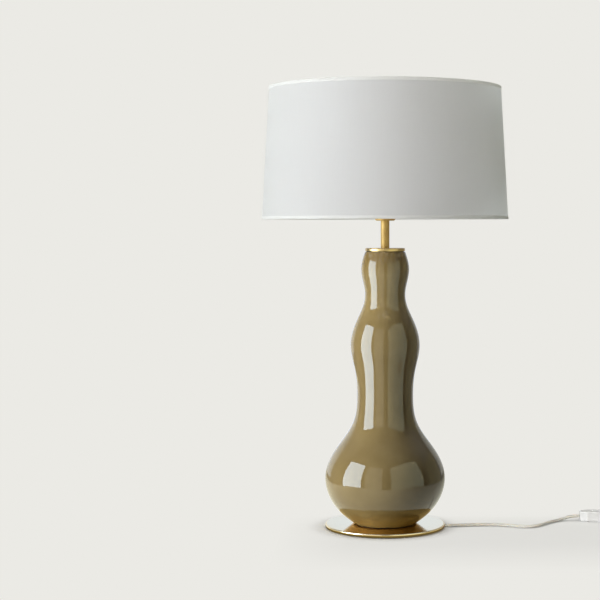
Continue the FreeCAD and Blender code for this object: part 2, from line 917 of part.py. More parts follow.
def switch_rocker():
    half = rocker_length / 2
    outline = [(-half, rocker_end_height), (0, rocker_end_height - rocker_dip), (half, rocker_end_height),
               (half, 1), (half / 2, -rocker_depth), (-half / 2, -rocker_depth), (-half, 1)]
    start = rocker_centre() - Vector(0, rocker_width / 2, 0)
    points = [start + Vector(x, 0, z) for x, z in outline]
    rocker = Part.Face(Part.makePolygon(points + points[:1])).extrude(Vector(0, rocker_width, 0))
    return on_tilt(rocker).cut(rocker_pin_at(rocker_pin_radius + thread_gap, switch_width))


def rocker_contact():
    size = Vector(rocker_contact_length, rocker_contact_width, rocker_contact_thickness)
    low = rocker_centre() + Vector(-size.x / 2, seat_gap, -rocker_depth - size.z)
    return on_tilt(block(low, low + size))


def switch_terminals():
    centre = rocker_centre()
    blocks = []
    for side in (-1, 1):
        low = Vector(centre.x + side * switch_terminal_offset - switch_terminal_size.x / 2,
                     centre.y + seat_gap, switch_wall)
        blocks.append(block(low, low + switch_terminal_size))
    return group(blocks)


def switch_wires():
    # One core runs through, the other is cut and goes to the two terminals
    level = switch_middle - switch_wire_radius
    entry = switch_start + Vector(switch_nose_length, 0, level)
    leave = switch_end + Vector(-switch_nose_length, 0, level)
    through = Vector(0, -cord_radius / 2, 0)
    cut = Vector(0, cord_radius / 2, 0)
    terminal_end = switch_terminal_offset + switch_terminal_size.x / 2
    reach = Vector(switch_length / 2 - switch_nose_length - terminal_end, 0, 0)
    return group([rod_between(entry + through, leave + through, switch_wire_radius),
                  rod_between(entry + cut, entry + cut + reach, switch_wire_radius),
                  rod_between(leave + cut - reach, leave + cut, switch_wire_radius)])


def switch_screws():
    return group([switch_screw(place, 0) for place in switch_screw_places()])


# Plug


def plug_body():
    wide, neck, back = plug_width / 2, plug_neck_width / 2, plug_length
    corner = plug_corner
    outline = [(0, -wide + corner.y), (corner.x, -wide), (plug_shoulder, -wide), (back, -neck), (back, neck),
               (plug_shoulder, wide), (corner.x, wide), (0, wide - corner.y)]
    points = [plug_face + Vector(x, y, 0) for x, y in outline]
    body = Part.Face(Part.makePolygon(points + points[:1])).extrude(up * plug_height)
    body = fillet_where(body, plug_round, lambda edge: edge.BoundBox.ZLength < 0.01)
    relief = Part.makeCone(relief_large_radius, relief_small_radius, relief_length + 1,
                           plug_face + Vector(plug_length - 1, 0, plug_height / 2), Vector(1, 0, 0))
    body = body.fuse(relief).removeSplitter()
    for side in (-1, 1):
        body = body.cut(plug_pin(side, thread_gap, 0))
    return body


def plug_pin(side, gap, tip):
    end = plug_face + Vector(pin_root, side * pin_spacing / 2, plug_height / 2)
    start = end - Vector(pin_root + pin_length, 0, 0)
    pin = rod_between(start, end, pin_radius + gap)
    if tip:
        pin = fillet_where(pin, tip, lambda edge: edge.BoundBox.XMax < start.x + 0.01)
    return pin


def plug_pins():
    return group([plug_pin(side, 0, pin_radius * 0.6) for side in (-1, 1)])


pieces = {
    "base_pad": base_pad(),
    "base_plate": base_plate(),
    "cord_bush": cord_bush(),
    "base_hub": base_hub(),
    "hub_screws": hub_screws(),
    "lock_nut": lock_nut(),
    "tie_rod": tie_rod(),
    "foot_gasket": foot_gasket(),
    "body_shell": body_shell(),
    "neck_gasket": neck_gasket(),
    "top_cap": top_cap(),
    "stem_tube": stem_tube(),
    "holder_cup": holder_cup(),
    "grub_screw": grub_screw(),
    "holder_sleeve": holder_sleeve(),
    "holder_core": holder_core(),
    "holder_terminals": holder_terminals(),
    "terminal_screws": terminal_screws(),
    "centre_contact": centre_contact(),
    "screw_shell": screw_shell(),
    "bulb_tip": bulb_tip(),
    "bulb_insulator": bulb_insulator(),
    "bulb_cap": bulb_cap(),
    "bulb_housing": bulb_housing(),
    "bulb_globe": bulb_globe(),
    "shade_fabric": shade_fabric(),
    "shade_liner": shade_liner(),
    "shade_bottom_trim": shade_trim(shade_bottom, 1),
    "shade_top_trim": shade_trim(shade_top, -1),
    "shade_top_hoop": hoop(shade_top - trim_thickness - hoop_wire_radius),
    "shade_frame": shade_frame(),
    "clamp_ring": clamp_ring(),
    "inner_cord": inner_cord(),
    "core_wires": core_wires(),
    "cord_lead": cord_tube("cord_lead", lead_points()),
    "switch_base": switch_base(),
    "switch_cover": switch_cover(),
    "switch_screws": switch_screws(),
    "switch_terminals": switch_terminals(),
    "switch_wires": switch_wires(),
    "rocker_pin": rocker_pin(),
    "switch_rocker": switch_rocker(),
    "rocker_contact": rocker_contact(),
    "cord_run": cord_tube("cord_run", run_points()),
    "cord_coil": cord_coil(),
    "cord_tail": cord_tube("cord_tail", tail_points()),
    "plug_body": plug_body(),
    "plug_pins": plug_pins(),
}

os.makedirs("parts", exist_ok=True)
for name, shape in pieces.items():
    shape.exportStep(f"parts/{name}.step")
    if not shape.isValid():
        print(name, "is not valid")
print(len(pieces), "nodes, height", round(shade_top, 1))
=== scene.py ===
import math

import bmesh
import bpy
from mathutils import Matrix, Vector


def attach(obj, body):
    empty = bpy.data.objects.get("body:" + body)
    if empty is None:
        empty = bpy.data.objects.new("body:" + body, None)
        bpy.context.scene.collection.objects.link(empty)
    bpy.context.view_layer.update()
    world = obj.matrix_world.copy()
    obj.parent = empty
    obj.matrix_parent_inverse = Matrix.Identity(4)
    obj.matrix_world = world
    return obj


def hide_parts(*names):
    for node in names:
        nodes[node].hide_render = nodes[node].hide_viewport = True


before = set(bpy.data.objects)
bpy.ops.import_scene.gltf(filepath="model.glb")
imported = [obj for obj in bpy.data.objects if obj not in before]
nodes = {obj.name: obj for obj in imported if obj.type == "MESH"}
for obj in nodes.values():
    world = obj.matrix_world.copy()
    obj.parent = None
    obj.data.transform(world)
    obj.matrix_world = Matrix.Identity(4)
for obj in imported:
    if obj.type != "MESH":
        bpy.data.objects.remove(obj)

scene = bpy.context.scene
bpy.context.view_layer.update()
print("Frame loaded:", len(nodes), "CAD nodes")


def place(obj):
    scene.collection.objects.link(obj)
    return obj


# The camera stands level in front of the lamp; its lens shift puts the lamp right of the picture's middle
view = {"lens": 91.32, "sensor": 36.0, "distance": 2.4733, "height": 0.4917,
        "shiftX": -0.1418, "shiftY": -0.1262}


def makeCamera():
    data = bpy.data.cameras.new("camera")
    data.lens = view["lens"]
    data.sensor_width = view["sensor"]
    data.shift_x = view["shiftX"]
    data.shift_y = view["shiftY"]
    holder = place(bpy.data.objects.new("camera", data))
    holder.location = (0, -view["distance"], view["height"])
    holder.rotation_euler = (math.pi / 2, 0, 0)
    scene.camera = holder


makeCamera()
print("Camera placed")


# Helpers for node trees and colours


def addNode(tree, kind, inputs=None, **settings):
    node = tree.nodes.new(kind)
    for name, value in settings.items():
        setattr(node, name, value)
    for name, value in (inputs or {}).items():
        if isinstance(value, bpy.types.NodeSocket):
            tree.links.new(value, node.inputs[name])
        else:
            node.inputs[name].default_value = value
    return node


def coordinates(tree):
    return tree.nodes.new("ShaderNodeTexCoord").outputs


def surface(tree):
    return tree.nodes.new("ShaderNodeNewGeometry").outputs


def parted(tree, vector):
    # The X, Y and Z of a vector
    return addNode(tree, "ShaderNodeSeparateXYZ", {0: vector}).outputs


def colour(red, green, blue):
    # Screen values from 0 to 255, as the linear colour that a socket takes
    def linear(value):
        value = value / 255
        return value / 12.92 if value <= 0.04045 else ((value + 0.055) / 1.055) ** 2.4
    return (linear(red), linear(green), linear(blue), 1.0)


def tinted(base, factor):
    return tuple(min(1.0, channel * factor) for channel in base[:3]) + (1.0,)


def addSockets(tree, inputs, outputs):
    kinds = {"float": "NodeSocketFloat", "int": "NodeSocketInt", "geometry": "NodeSocketGeometry",
             "material": "NodeSocketMaterial"}
    for direction, sockets in (("INPUT", inputs), ("OUTPUT", outputs)):
        for name, kind, *start in sockets:
            socket = tree.interface.new_socket(name, in_out=direction, socket_type=kinds[kind])
            if start:
                socket.default_value = start[0]


def maths(tree, operation, first, second=0.0, third=0.0):
    node = tree.nodes.new("ShaderNodeMath")
    node.operation = operation
    for socket, value in zip(node.inputs, (first, second, third)):
        if isinstance(value, bpy.types.NodeSocket):
            tree.links.new(value, socket)
        else:
            socket.default_value = value
    return node.outputs[0]


def mapped(tree, value, low, high, newLow, newHigh):
    node = addNode(tree, "ShaderNodeMapRange", {"Value": value, "From Min": low, "From Max": high,
                                                "To Min": newLow, "To Max": newHigh})
    return node.outputs["Result"]


def mixed(tree, factor, first, second):
    node = addNode(tree, "ShaderNodeMix", data_type="RGBA")
    for socket, value in ((node.inputs[0], factor), (node.inputs[6], first), (node.inputs[7], second)):
        if isinstance(value, bpy.types.NodeSocket):
            tree.links.new(value, socket)
        else:
            socket.default_value = value
    return node.outputs[2]


# Effects that several materials share, as shader node groups


noiseSpread = (0.32, 0.68)  # most of a noise's values lie in this range
weaveLook = {"slubWidth": 0.35, "warpShare": 0.62, "weftShare": 0.38, "threadHeight": 0.6, "slubHeight": 0.8}
wornTurn = (0.52, 0.62)  # how sharply an edge turns, from unworn to worn
dustLook = {"scale": 60.0, "facing": (0.2, 1.0)}


def makeGrain():
    # Fine uneven grain: its size in metres, and a height from -0.5 to 0.5 that a bump scales
    tree = bpy.data.node_groups.new("fineGrain", "ShaderNodeTree")
    addSockets(tree, [("Size", "float", 0.002), ("Detail", "float", 3.0)],
               [("Mask", "float"), ("Height", "float")])
    entry, leave = tree.nodes.new("NodeGroupInput"), tree.nodes.new("NodeGroupOutput")
    scale = maths(tree, "DIVIDE", 1.0, entry.outputs["Size"])
    noise = addNode(tree, "ShaderNodeTexNoise", {"Vector": coordinates(tree)["Object"], "Scale": scale,
                                                 "Detail": entry.outputs["Detail"]})
    centred = maths(tree, "SUBTRACT", noise.outputs["Fac"], 0.5)
    tree.links.new(mapped(tree, noise.outputs["Fac"], *noiseSpread, 0, 1), leave.inputs["Mask"])
    tree.links.new(centred, leave.inputs["Height"])
    return tree


def makeWeave():
    # Plain weave with slubs, on a UV map laid out in metres
    tree = bpy.data.node_groups.new("clothWeave", "ShaderNodeTree")
    addSockets(tree, [("Thread", "float", 0.0006), ("Slub Length", "float", 0.05)],
               [("Height", "float"), ("Tone", "float")])
    entry, leave = tree.nodes.new("NodeGroupInput"), tree.nodes.new("NodeGroupOutput")
    uv = parted(tree, coordinates(tree)["UV"])
    across = maths(tree, "DIVIDE", uv["X"], entry.outputs["Thread"])
    along = maths(tree, "DIVIDE", uv["Y"], entry.outputs["Thread"])
    warp = maths(tree, "ABSOLUTE", maths(tree, "SINE", maths(tree, "MULTIPLY", across, math.pi)))
    weft = maths(tree, "ABSOLUTE", maths(tree, "SINE", maths(tree, "MULTIPLY", along, math.pi)))
    cell = maths(tree, "ADD", maths(tree, "FLOOR", across), maths(tree, "FLOOR", along))
    over = maths(tree, "PINGPONG", cell, 1.0)
    cloth = maths(tree, "ADD", maths(tree, "MULTIPLY", warp, over),
                  maths(tree, "MULTIPLY", weft, maths(tree, "SUBTRACT", 1.0, over)))
    long = maths(tree, "DIVIDE", 1.0, entry.outputs["Slub Length"])
    fine = maths(tree, "DIVIDE", weaveLook["slubWidth"], entry.outputs["Thread"])

    def slub(xScale, yScale):
        stretched = addNode(tree, "ShaderNodeCombineXYZ", {"X": maths(tree, "MULTIPLY", uv["X"], xScale),
                                                           "Y": maths(tree, "MULTIPLY", uv["Y"], yScale)})
        noise = addNode(tree, "ShaderNodeTexNoise", {"Vector": stretched.outputs[0], "Scale": 1.0,
                                                     "Detail": 2.0})
        return noise.outputs["Fac"]

    warpSlub, weftSlub = slub(fine, long), slub(long, fine)
    tone = maths(tree, "ADD", maths(tree, "MULTIPLY", warpSlub, weaveLook["warpShare"]),
                 maths(tree, "MULTIPLY", weftSlub, weaveLook["weftShare"]))
    height = maths(tree, "ADD", maths(tree, "MULTIPLY", cloth, weaveLook["threadHeight"]),
                   maths(tree, "MULTIPLY", tone, weaveLook["slubHeight"]))
    tree.links.new(height, leave.inputs["Height"])
    tree.links.new(mapped(tree, tone, *noiseSpread, 0, 1), leave.inputs["Tone"])
    return tree


def makeWear():
    # Worn corners, from how sharply the surface turns, broken up by noise
    tree = bpy.data.node_groups.new("edgeWear", "ShaderNodeTree")
    addSockets(tree, [("Amount", "float", 0.5), ("Size", "float", 0.004)], [("Mask", "float")])
    entry, leave = tree.nodes.new("NodeGroupInput"), tree.nodes.new("NodeGroupOutput")
    edge = mapped(tree, surface(tree)["Pointiness"], *wornTurn, 0, 1)
    scale = maths(tree, "DIVIDE", 1.0, entry.outputs["Size"])
    noise = addNode(tree, "ShaderNodeTexNoise", {"Vector": coordinates(tree)["Object"], "Scale": scale,
                                                 "Detail": 4.0})
    broken = maths(tree, "MULTIPLY", edge, noise.outputs["Fac"])
    tree.links.new(maths(tree, "MULTIPLY", broken, entry.outputs["Amount"]), leave.inputs["Mask"])
    return tree


def makeDust():
    # A thin veil on what faces up
    tree = bpy.data.node_groups.new("thinDust", "ShaderNodeTree")
    addSockets(tree, [("Amount", "float", 0.1)], [("Mask", "float")])
    entry, leave = tree.nodes.new("NodeGroupInput"), tree.nodes.new("NodeGroupOutput")
    facing = mapped(tree, parted(tree, surface(tree)["Normal"])["Z"], *dustLook["facing"], 0, 1)
    noise = addNode(tree, "ShaderNodeTexNoise", {"Vector": coordinates(tree)["Object"],
                                                 "Scale": dustLook["scale"], "Detail": 6.0})
    upward = maths(tree, "MULTIPLY", facing, noise.outputs["Fac"])
    tree.links.new(maths(tree, "MULTIPLY", upward, entry.outputs["Amount"]), leave.inputs["Mask"])
    return tree


effects = {"grain": makeGrain(), "weave": makeWeave(), "wear": makeWear(), "dust": makeDust()}


def effect(tree, name, **values):
    node = tree.nodes.new("ShaderNodeGroup")
    node.node_tree = effects[name]
    for label, value in values.items():
        node.inputs[label.replace("_", " ")].default_value = value
    return node.outputs


def bump(tree, shader, height, depth):
    node = addNode(tree, "ShaderNodeBump", {"Height": height, "Distance": depth, "Strength": 1.0})
    tree.links.new(node.outputs["Normal"], shader.inputs["Normal"])


def newMaterial(name, constants):
    material = bpy.data.materials.new(name)
    material.use_nodes = True
    tree = material.node_tree
    shader = tree.nodes["Principled BSDF"]
    for label, value in constants.items():
        shader.inputs[label].default_value = value
    return material, tree, shader


throughTint = (0.96, 0.955, 0.93, 1)  # of the light that comes through the shade


def letThrough(tree, shader, share):
    # Cloth and film pass on a share of the light that falls on their far side
    through = addNode(tree, "ShaderNodeBsdfTranslucent", {"Color": throughTint})
    both = addNode(tree, "ShaderNodeMixShader", {0: share, 1: shader.outputs[0], 2: through.outputs[0]})
    tree.links.new(both.outputs[0], tree.nodes["Material Output"].inputs["Surface"])


# Finishes: what a finish looks like stands in its dictionary, and its nodes in the function below


# The lip colour, its rise and its share paint shade on the top of the neck
glazeLook = {"base": colour(160, 138, 90), "deep": colour(151, 129, 82), "mottle": 0.035, "peel": 0.009,
             "peelDepth": 0.000012, "dust": 0.1, "smooth": 0.025, "ior": 1.55,
             "lip": colour(122, 98, 50), "neckShadeRise": (0.410, 0.438), "neckShadeShare": 0.88}


def glazeFinish():
    look = glazeLook
    material, tree, shader = newMaterial("oliveGlaze", {"IOR": look["ior"]})
    mottle = effect(tree, "grain", Size=look["mottle"], Detail=3.0)
    glaze = mixed(tree, mottle["Mask"], look["base"], look["deep"])
    # Painted shade: the glaze colour turns a shaded brown towards the top of the neck, under the cap and the
    # shade
    height = parted(tree, coordinates(tree)["Object"])["Z"]
    neckShade = mapped(tree, height, *look["neckShadeRise"], 0, look["neckShadeShare"])
    tree.links.new(mixed(tree, neckShade, glaze, look["lip"]), shader.inputs["Base Color"])
    dust = effect(tree, "dust", Amount=look["dust"])
    tree.links.new(maths(tree, "ADD", dust["Mask"], look["smooth"]), shader.inputs["Roughness"])
    peel = effect(tree, "grain", Size=look["peel"], Detail=1.0)
    bump(tree, shader, peel["Height"], look["peelDepth"])
    return material


# The rim highlight keys mark the rounded edge by which way it faces, for a painted highlight; buffedRoughness
# makes that edge duller
metalLook = {"wear": 0.8, "wearSize": 0.003, "toneSize": 0.02, "toneShare": 0.35, "darker": 0.9, "dust": 0.12,
             "roughSpread": (0.85, 1.25), "grainDepth": 0.0000015,
             "rimHighlightBelow": (0.98, 0.92), "rimHighlightAbove": (0.05, 0.20), "buffedRoughness": 0.2}


def metalFinish(name, base, worn, roughness, grain=0.0004, rimHighlight=None, **constants):
    look = metalLook
    material, tree, shader = newMaterial(name, dict(constants, Metallic=1.0))
    wear = effect(tree, "wear", Amount=look["wear"], Size=look["wearSize"])
    tone = effect(tree, "grain", Size=look["toneSize"], Detail=4.0)
    dark = tinted(base, look["darker"])
    base = mixed(tree, maths(tree, "MULTIPLY", tone["Mask"], look["toneShare"]), base, dark)
    base = mixed(tree, wear["Mask"], base, worn)
    fine = effect(tree, "grain", Size=grain, Detail=2.0)
    dust = effect(tree, "dust", Amount=look["dust"])
    spread = [roughness * share for share in look["roughSpread"]]
    rough = maths(tree, "ADD", mapped(tree, tone["Mask"], 0, 1, *spread), dust["Mask"])
    if rimHighlight:
        # Painted highlight: where the rounded edge faces partly up, its colour is paler, which whitens its
        # reflection; it is also made duller than the faces beside it
        facing = parted(tree, surface(tree)["Normal"])["Z"]
        rimHighlightMask = maths(tree, "MULTIPLY", mapped(tree, facing, *look["rimHighlightBelow"], 0, 1),
                        mapped(tree, facing, *look["rimHighlightAbove"], 0, 1))
        base = mixed(tree, rimHighlightMask, base, rimHighlight)
        rough = maths(tree, "MULTIPLY_ADD", rimHighlightMask, look["buffedRoughness"], rough)
    tree.links.new(base, shader.inputs["Base Color"])
    tree.links.new(rough, shader.inputs["Roughness"])
    bump(tree, shader, fine["Height"], look["grainDepth"])
    return material


mouldedLook = {"wear": 0.5, "wearSize": 0.002, "toneSize": 0.03, "darker": 0.94, "paler": 1.12, "dust": 0.2,
               "roughSpread": (0.9, 1.15)}


def mouldedFinish(name, base, roughness, grain=0.0009, depth=0.00002, through=0.0, **constants):
    look = mouldedLook
    material, tree, shader = newMaterial(name, constants)
    fine = effect(tree, "grain", Size=grain, Detail=3.0)
    tone = effect(tree, "grain", Size=look["toneSize"], Detail=3.0)
    wear = effect(tree, "wear", Amount=look["wear"], Size=look["wearSize"])
    shaded = mixed(tree, tone["Mask"], base, tinted(base, look["darker"]))
    shaded = mixed(tree, wear["Mask"], shaded, tinted(base, look["paler"]))
    tree.links.new(shaded, shader.inputs["Base Color"])
    dust = effect(tree, "dust", Amount=look["dust"])
    spread = [roughness * share for share in look["roughSpread"]]
    rough = mapped(tree, fine["Mask"], 0, 1, *spread)
    tree.links.new(maths(tree, "ADD", rough, dust["Mask"]), shader.inputs["Roughness"])
    bump(tree, shader, fine["Height"], depth)
    if through:
        letThrough(tree, shader, through)
    return material


clothLook = {"slubLength": 0.06, "weaveDepth": 0.12}
clothSurface = {"Roughness": 0.85, "Sheen Weight": 0.04, "Sheen Roughness": 0.5, "Specular IOR Level": 0.08}


def clothFinish(name, base, dark, thread, through):
    material, tree, shader = newMaterial(name, clothSurface)
    weave = effect(tree, "weave", Thread=thread, Slub_Length=clothLook["slubLength"])
    tree.links.new(mixed(tree, weave["Tone"], dark, base), shader.inputs["Base Color"])
    bump(tree, shader, weave["Height"], thread * clothLook["weaveDepth"])
    letThrough(tree, shader, through)
    return material


finishes = {
    "glaze": glazeFinish(),
    # The plate's rounded rim takes a paler colour, a painted highlight
    "plateBrass": metalFinish("polishedBrass", (0.83, 0.56, 0.19, 1), (0.92, 0.78, 0.52, 1), 0.04,
                              rimHighlight=(0.84, 0.73, 0.54, 1), **{"Specular Tint": (1.0, 0.97, 0.95, 1)}),
    "brass": metalFinish("turnedBrass", (0.62, 0.43, 0.18, 1), (0.92, 0.72, 0.38, 1), 0.36,
                         **{"Coat Weight": 0.25, "Coat Roughness": 0.25}),
    "satinBrass": metalFinish("satinBrass", (0.54, 0.34, 0.09, 1), (0.6, 0.42, 0.18, 1), 0.64,
                              **{"Coat Weight": 0.8, "Coat Roughness": 0.5}),
    "steel": metalFinish("zincSteel", (0.60, 0.60, 0.58, 1), (0.8, 0.8, 0.78, 1), 0.32),
    "nickel": metalFinish("nickelPlate", (0.66, 0.63, 0.57, 1), (0.82, 0.8, 0.75, 1), 0.22),
    "rubber": mouldedFinish("blackRubber", colour(42, 41, 40), 0.75),
    "cloth": clothFinish("whiteCloth", colour(186, 186, 187), colour(182, 182, 182), 0.0006, through=0.55),
    # The hem tape is the shade's cloth, given a paler colour to make up for the light its folds keep from
    # coming through: painted light
    "tape": clothFinish("hemTape", colour(212, 212, 210), colour(207, 207, 204), 0.0008, through=0.66),
    "backing": mouldedFinish("shadeFilm", colour(250, 250, 248), 0.42, through=0.68),
    "wire": mouldedFinish("whiteWire", colour(226, 226, 222), 0.4),
    "holder": mouldedFinish("holderPlastic", colour(232, 231, 226), 0.3),
    "porcelain": mouldedFinish("holderPorcelain", colour(236, 233, 225), 0.2),
    "opal": mouldedFinish("opalGlass", colour(242, 242, 240), 0.16, depth=0.000004, **{"IOR": 1.5}),
    "bulbPlastic": mouldedFinish("bulbPlastic", colour(234, 234, 232), 0.35),
    "bulbBlack": mouldedFinish("bulbGlassBlack", colour(28, 26, 26), 0.2),
    "cordSkin": mouldedFinish("clearCordSkin", colour(240, 235, 224), 0.3, grain=0.004, depth=0.000003,
                              **{"Subsurface Weight": 0.7, "Subsurface Radius": (0.004, 0.0036, 0.003),
                                 "Subsurface Scale": 1.0}),
    "switch": mouldedFinish("switchPlastic", colour(252, 251, 248), 0.32),
    "plug": mouldedFinish("plugPlastic", colour(228, 226, 218), 0.36),
    "core": mouldedFinish("wireSkin", colour(96, 84, 70), 0.4),
}
print("Finishes:", len(finishes))


# Pieces turned about the lamp's axis: a node tree carries the outline round a circular rail


turning = {"railRadius": 0.5, "weld": 0.0000005, "smoothAngle": 40.0, "steps": 128, "cornerSteps": 6}


def makeTurningTree():
    tree = bpy.data.node_groups.new("turnedPiece", "GeometryNodeTree")
    tree.is_modifier = True
    addSockets(tree, [("Outline", "geometry"), ("Steps", "int", turning["steps"]),
                      ("Rail Radius", "float", turning["railRadius"]), ("Weld", "float", turning["weld"]),
                      ("Finish", "material")], [("Piece", "geometry")])
    entry, leave = tree.nodes.new("NodeGroupInput"), tree.nodes.new("NodeGroupOutput")
    outline = addNode(tree, "GeometryNodeMeshToCurve", {"Mesh": entry.outputs["Outline"]})
    rail = addNode(tree, "GeometryNodeCurvePrimitiveCircle", {"Resolution": entry.outputs["Steps"],
                                                             "Radius": entry.outputs["Rail Radius"]})
    turned = addNode(tree, "GeometryNodeCurveToMesh", {"Curve": rail.outputs["Curve"],
                                                       "Profile Curve": outline.outputs["Curve"]})
    welded = addNode(tree, "GeometryNodeMergeByDistance", {"Geometry": turned.outputs["Mesh"],
                                                           "Distance": entry.outputs["Weld"]})
    smooth = addNode(tree, "GeometryNodeSetShadeSmooth", {"Geometry": welded.outputs["Geometry"]})
    real = addNode(tree, "GeometryNodeRealizeInstances", {"Geometry": smooth.outputs["Geometry"]})
    done = addNode(tree, "GeometryNodeSetMaterial", {"Geometry": real.outputs["Geometry"],
                                                     "Material": entry.outputs["Finish"]})
    tree.links.new(done.outputs["Geometry"], leave.inputs["Piece"])
    return tree


turningTree = makeTurningTree()


def grown(obj, tree, values):
    # Runs a node tree on an object and keeps the result as its plain mesh
    modifier = obj.modifiers.new("shape", "NODES")
    modifier.node_group = tree
    for item in tree.interface.items_tree:
        if item.item_type == "SOCKET" and item.in_out == "INPUT" and item.name in values:
            modifier[item.identifier] = values[item.name]
    scene.view_layers[0].update()
    mesh = bpy.data.meshes.new_from_object(obj.evaluated_get(bpy.context.evaluated_depsgraph_get()))
    obj.modifiers.remove(modifier)
    obj.data = mesh
    return mesh


def roundedOutline(points):
    # A point may carry a third number, the radius of its corner
    outline = []
    count = len(points)
    for number, point in enumerate(points):
        if len(point) < 3:
            outline.append(Vector(point))
            continue
        corner = Vector(point[:2])
        back = Vector(points[number - 1][:2]) - corner
        ahead = Vector(points[(number + 1) % count][:2]) - corner
        reach = point[2] / math.tan(back.angle(ahead) / 2)
        start, end = corner + back.normalized() * reach, corner + ahead.normalized() * reach
        for step in range(turning["cornerSteps"] + 1):
            share = step / turning["cornerSteps"]
            outline.append(start.lerp(corner, share).lerp(corner.lerp(end, share), share))
    return outline


def evenShading(piece):
    piece.data.set_sharp_from_angle(angle=math.radians(turning["smoothAngle"]))
    piece.modifiers.new("evenShading", "WEIGHTED_NORMAL").keep_sharp = True


def outwardFaces(mesh):
    shape = bmesh.new()
    shape.from_mesh(mesh)
    bmesh.ops.recalc_face_normals(shape, faces=shape.faces)
    shape.to_mesh(mesh)
    shape.free()


def turnedPiece(name, outline, finish, steps=turning["steps"], closed=True):
    # The outline is laid flat and measured from the rail, which then carries it round
    points = roundedOutline(outline)
    rail = turning["railRadius"]
    flat = [(point[0] - rail, -point[1], 0) for point in points]
    edges = [(number, number + 1) for number in range(len(flat) - 1)]
    if closed:
        edges.append((len(flat) - 1, 0))
    mesh = bpy.data.meshes.new(name)
    mesh.from_pydata(flat, edges, [])
    obj = place(bpy.data.objects.new(name, mesh))
    mesh = grown(obj, turningTree, {"Steps": steps, "Rail Radius": rail, "Weld": turning["weld"],
                                    "Finish": finishes[finish]})
    outwardFaces(mesh)
    evenShading(obj)
    return obj


def dress(piece, body, slot, *replaced):
    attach(piece, body)
    if replaced:
        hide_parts(*replaced)
    return piece


# The cord, on the CAD cord's points: from the plate to the switch, then on to the coil and the plug


cord = {
    "diameter": 0.005,
    "exit": (0.0969, 0, 0.0026),
    "lead": [(0.0969, 0, 0.0026), (0.116, 0, 0.0026), (0.150, 0.006, 0.0026), (0.185, 0.0065, 0.0026),
             (0.211, -0.0055, 0.0026), (0.228, -0.0115, 0.0026), (0.244, -0.007, 0.0026),
             (0.256, 0.007, 0.0026), (0.275, 0.033, 0.0026), (0.291, 0.048, 0.0026), (0.310, 0.054, 0.008),
             (0.334, 0.054, 0.008)],
    "leadLength": 0.267,
    "runExit": (0.374, 0.054, 0.008),
    "run": [(0.374, 0.054, 0.008), (0.399, 0.054, 0.008), (0.418, 0.057, 0.0026), (0.441, 0.0585, 0.0026),
            (0.476, 0.0535, 0.0026), (0.500, 0.0535, 0.0026)],
    "tail": [(0.500, -0.02555, 0.0081), (0.489, -0.02555, 0.0081), (0.477, -0.0264, 0.00685),
             (0.467, -0.0264, 0.00685)],
    "runLength": 1.541,
    "coilCentre": (0.505, 0.014),
    "coilReaches": {"outer": 0.0395, "step": 0.00275, "halfTurns": 7, "climbRoom": 0.0028},
    "coilLevels": (0.0026, 0.0081),
    "pointsPerHalfTurn": 7,
    "stepsPerPoint": 8, "roundSteps": 4,
}


def coilPoints():
    # Half turns whose reach shrinks on the lower layer and grows again on the upper one
    reaches = cord["coilReaches"]
    count = reaches["halfTurns"]
    inward = [reaches["outer"] - number * reaches["step"] for number in range(count + 1)]
    outward = [inward[-1] - reaches["step"]]
    outward += [inward[-1] + reaches["climbRoom"] + number * reaches["step"] for number in range(count)]
    low, high = cord["coilLevels"]
    corners = [(reach, low) for reach in inward] + [(reach, high) for reach in outward]
    share = cord["pointsPerHalfTurn"]
    widen = 1 / math.cos(math.pi / share / 2)  # the smooth line runs inside its points
    points = []
    for turn in range(len(corners) - 1):
        (reach, level), (nextReach, nextLevel) = corners[turn], corners[turn + 1]
        for step in range(share):
            along = step / share
            angle = math.pi / 2 - math.pi * (turn + along)
            radius = (reach + (nextReach - reach) * along) * widen
            points.append((cord["coilCentre"][0] + radius * math.cos(angle),
                           cord["coilCentre"][1] + radius * math.sin(angle),
                           level + (nextLevel - level) * along))
    return points


def cordLine(name, points):
    data = bpy.data.curves.new(name, "CURVE")
    data.dimensions = "3D"
    spline = data.splines.new("NURBS")
    spline.points.add(len(points) - 1)
    for target, point in zip(spline.points, points):
        target.co = (*point, 1)
    spline.order_u = 3
    spline.use_endpoint_u = True
    spline.resolution_u = cord["stepsPerPoint"]
    data.bevel_depth = cord["diameter"] / 2
    data.bevel_resolution = cord["roundSteps"]
    data.use_fill_caps = True
    data.materials.append(finishes["cordSkin"])
    return place(bpy.data.objects.new(name, data))


leadCord = dress(cordLine("leadCord", cord["lead"]), "lamp", "cord_skin", "cord_lead")
runCord = dress(cordLine("runCord", cord["run"][:-1] + coilPoints() + cord["tail"]), "lamp", "cord_skin",
                "cord_run", "cord_coil", "cord_tail")
print("Cords laid")


# The glazed body: a smooth line through radius and height from foot to mouth, and a wall inside it


body = {
    "turns": [(0.0505, 0.0078), (0.07933, 0.033245), (0.097, 0.0805), (0.08567, 0.1176), (0.051165, 0.171925),
              (0.0455, 0.213), (0.049064, 0.254565), (0.0563, 0.2945), (0.04643, 0.33517),
              (0.034915, 0.36256), (0.0328, 0.3775), (0.036737, 0.40128), (0.03915, 0.4185), (0.0327, 0.447)],
    "wall": 0.005, "floor": 0.0138, "underLip": 0.442, "mouth": 0.022, "footHole": 0.0283,
    "cornerRoom": 0.002, "cornerStep": 0.001, "mouthRound": 0.0006,
    "outerSteps": 150, "innerSteps": 48, "fineSteps": 4, "steps": 192,
    "slack": 1e-12,  # for rounding, where a step meets one of the points
}


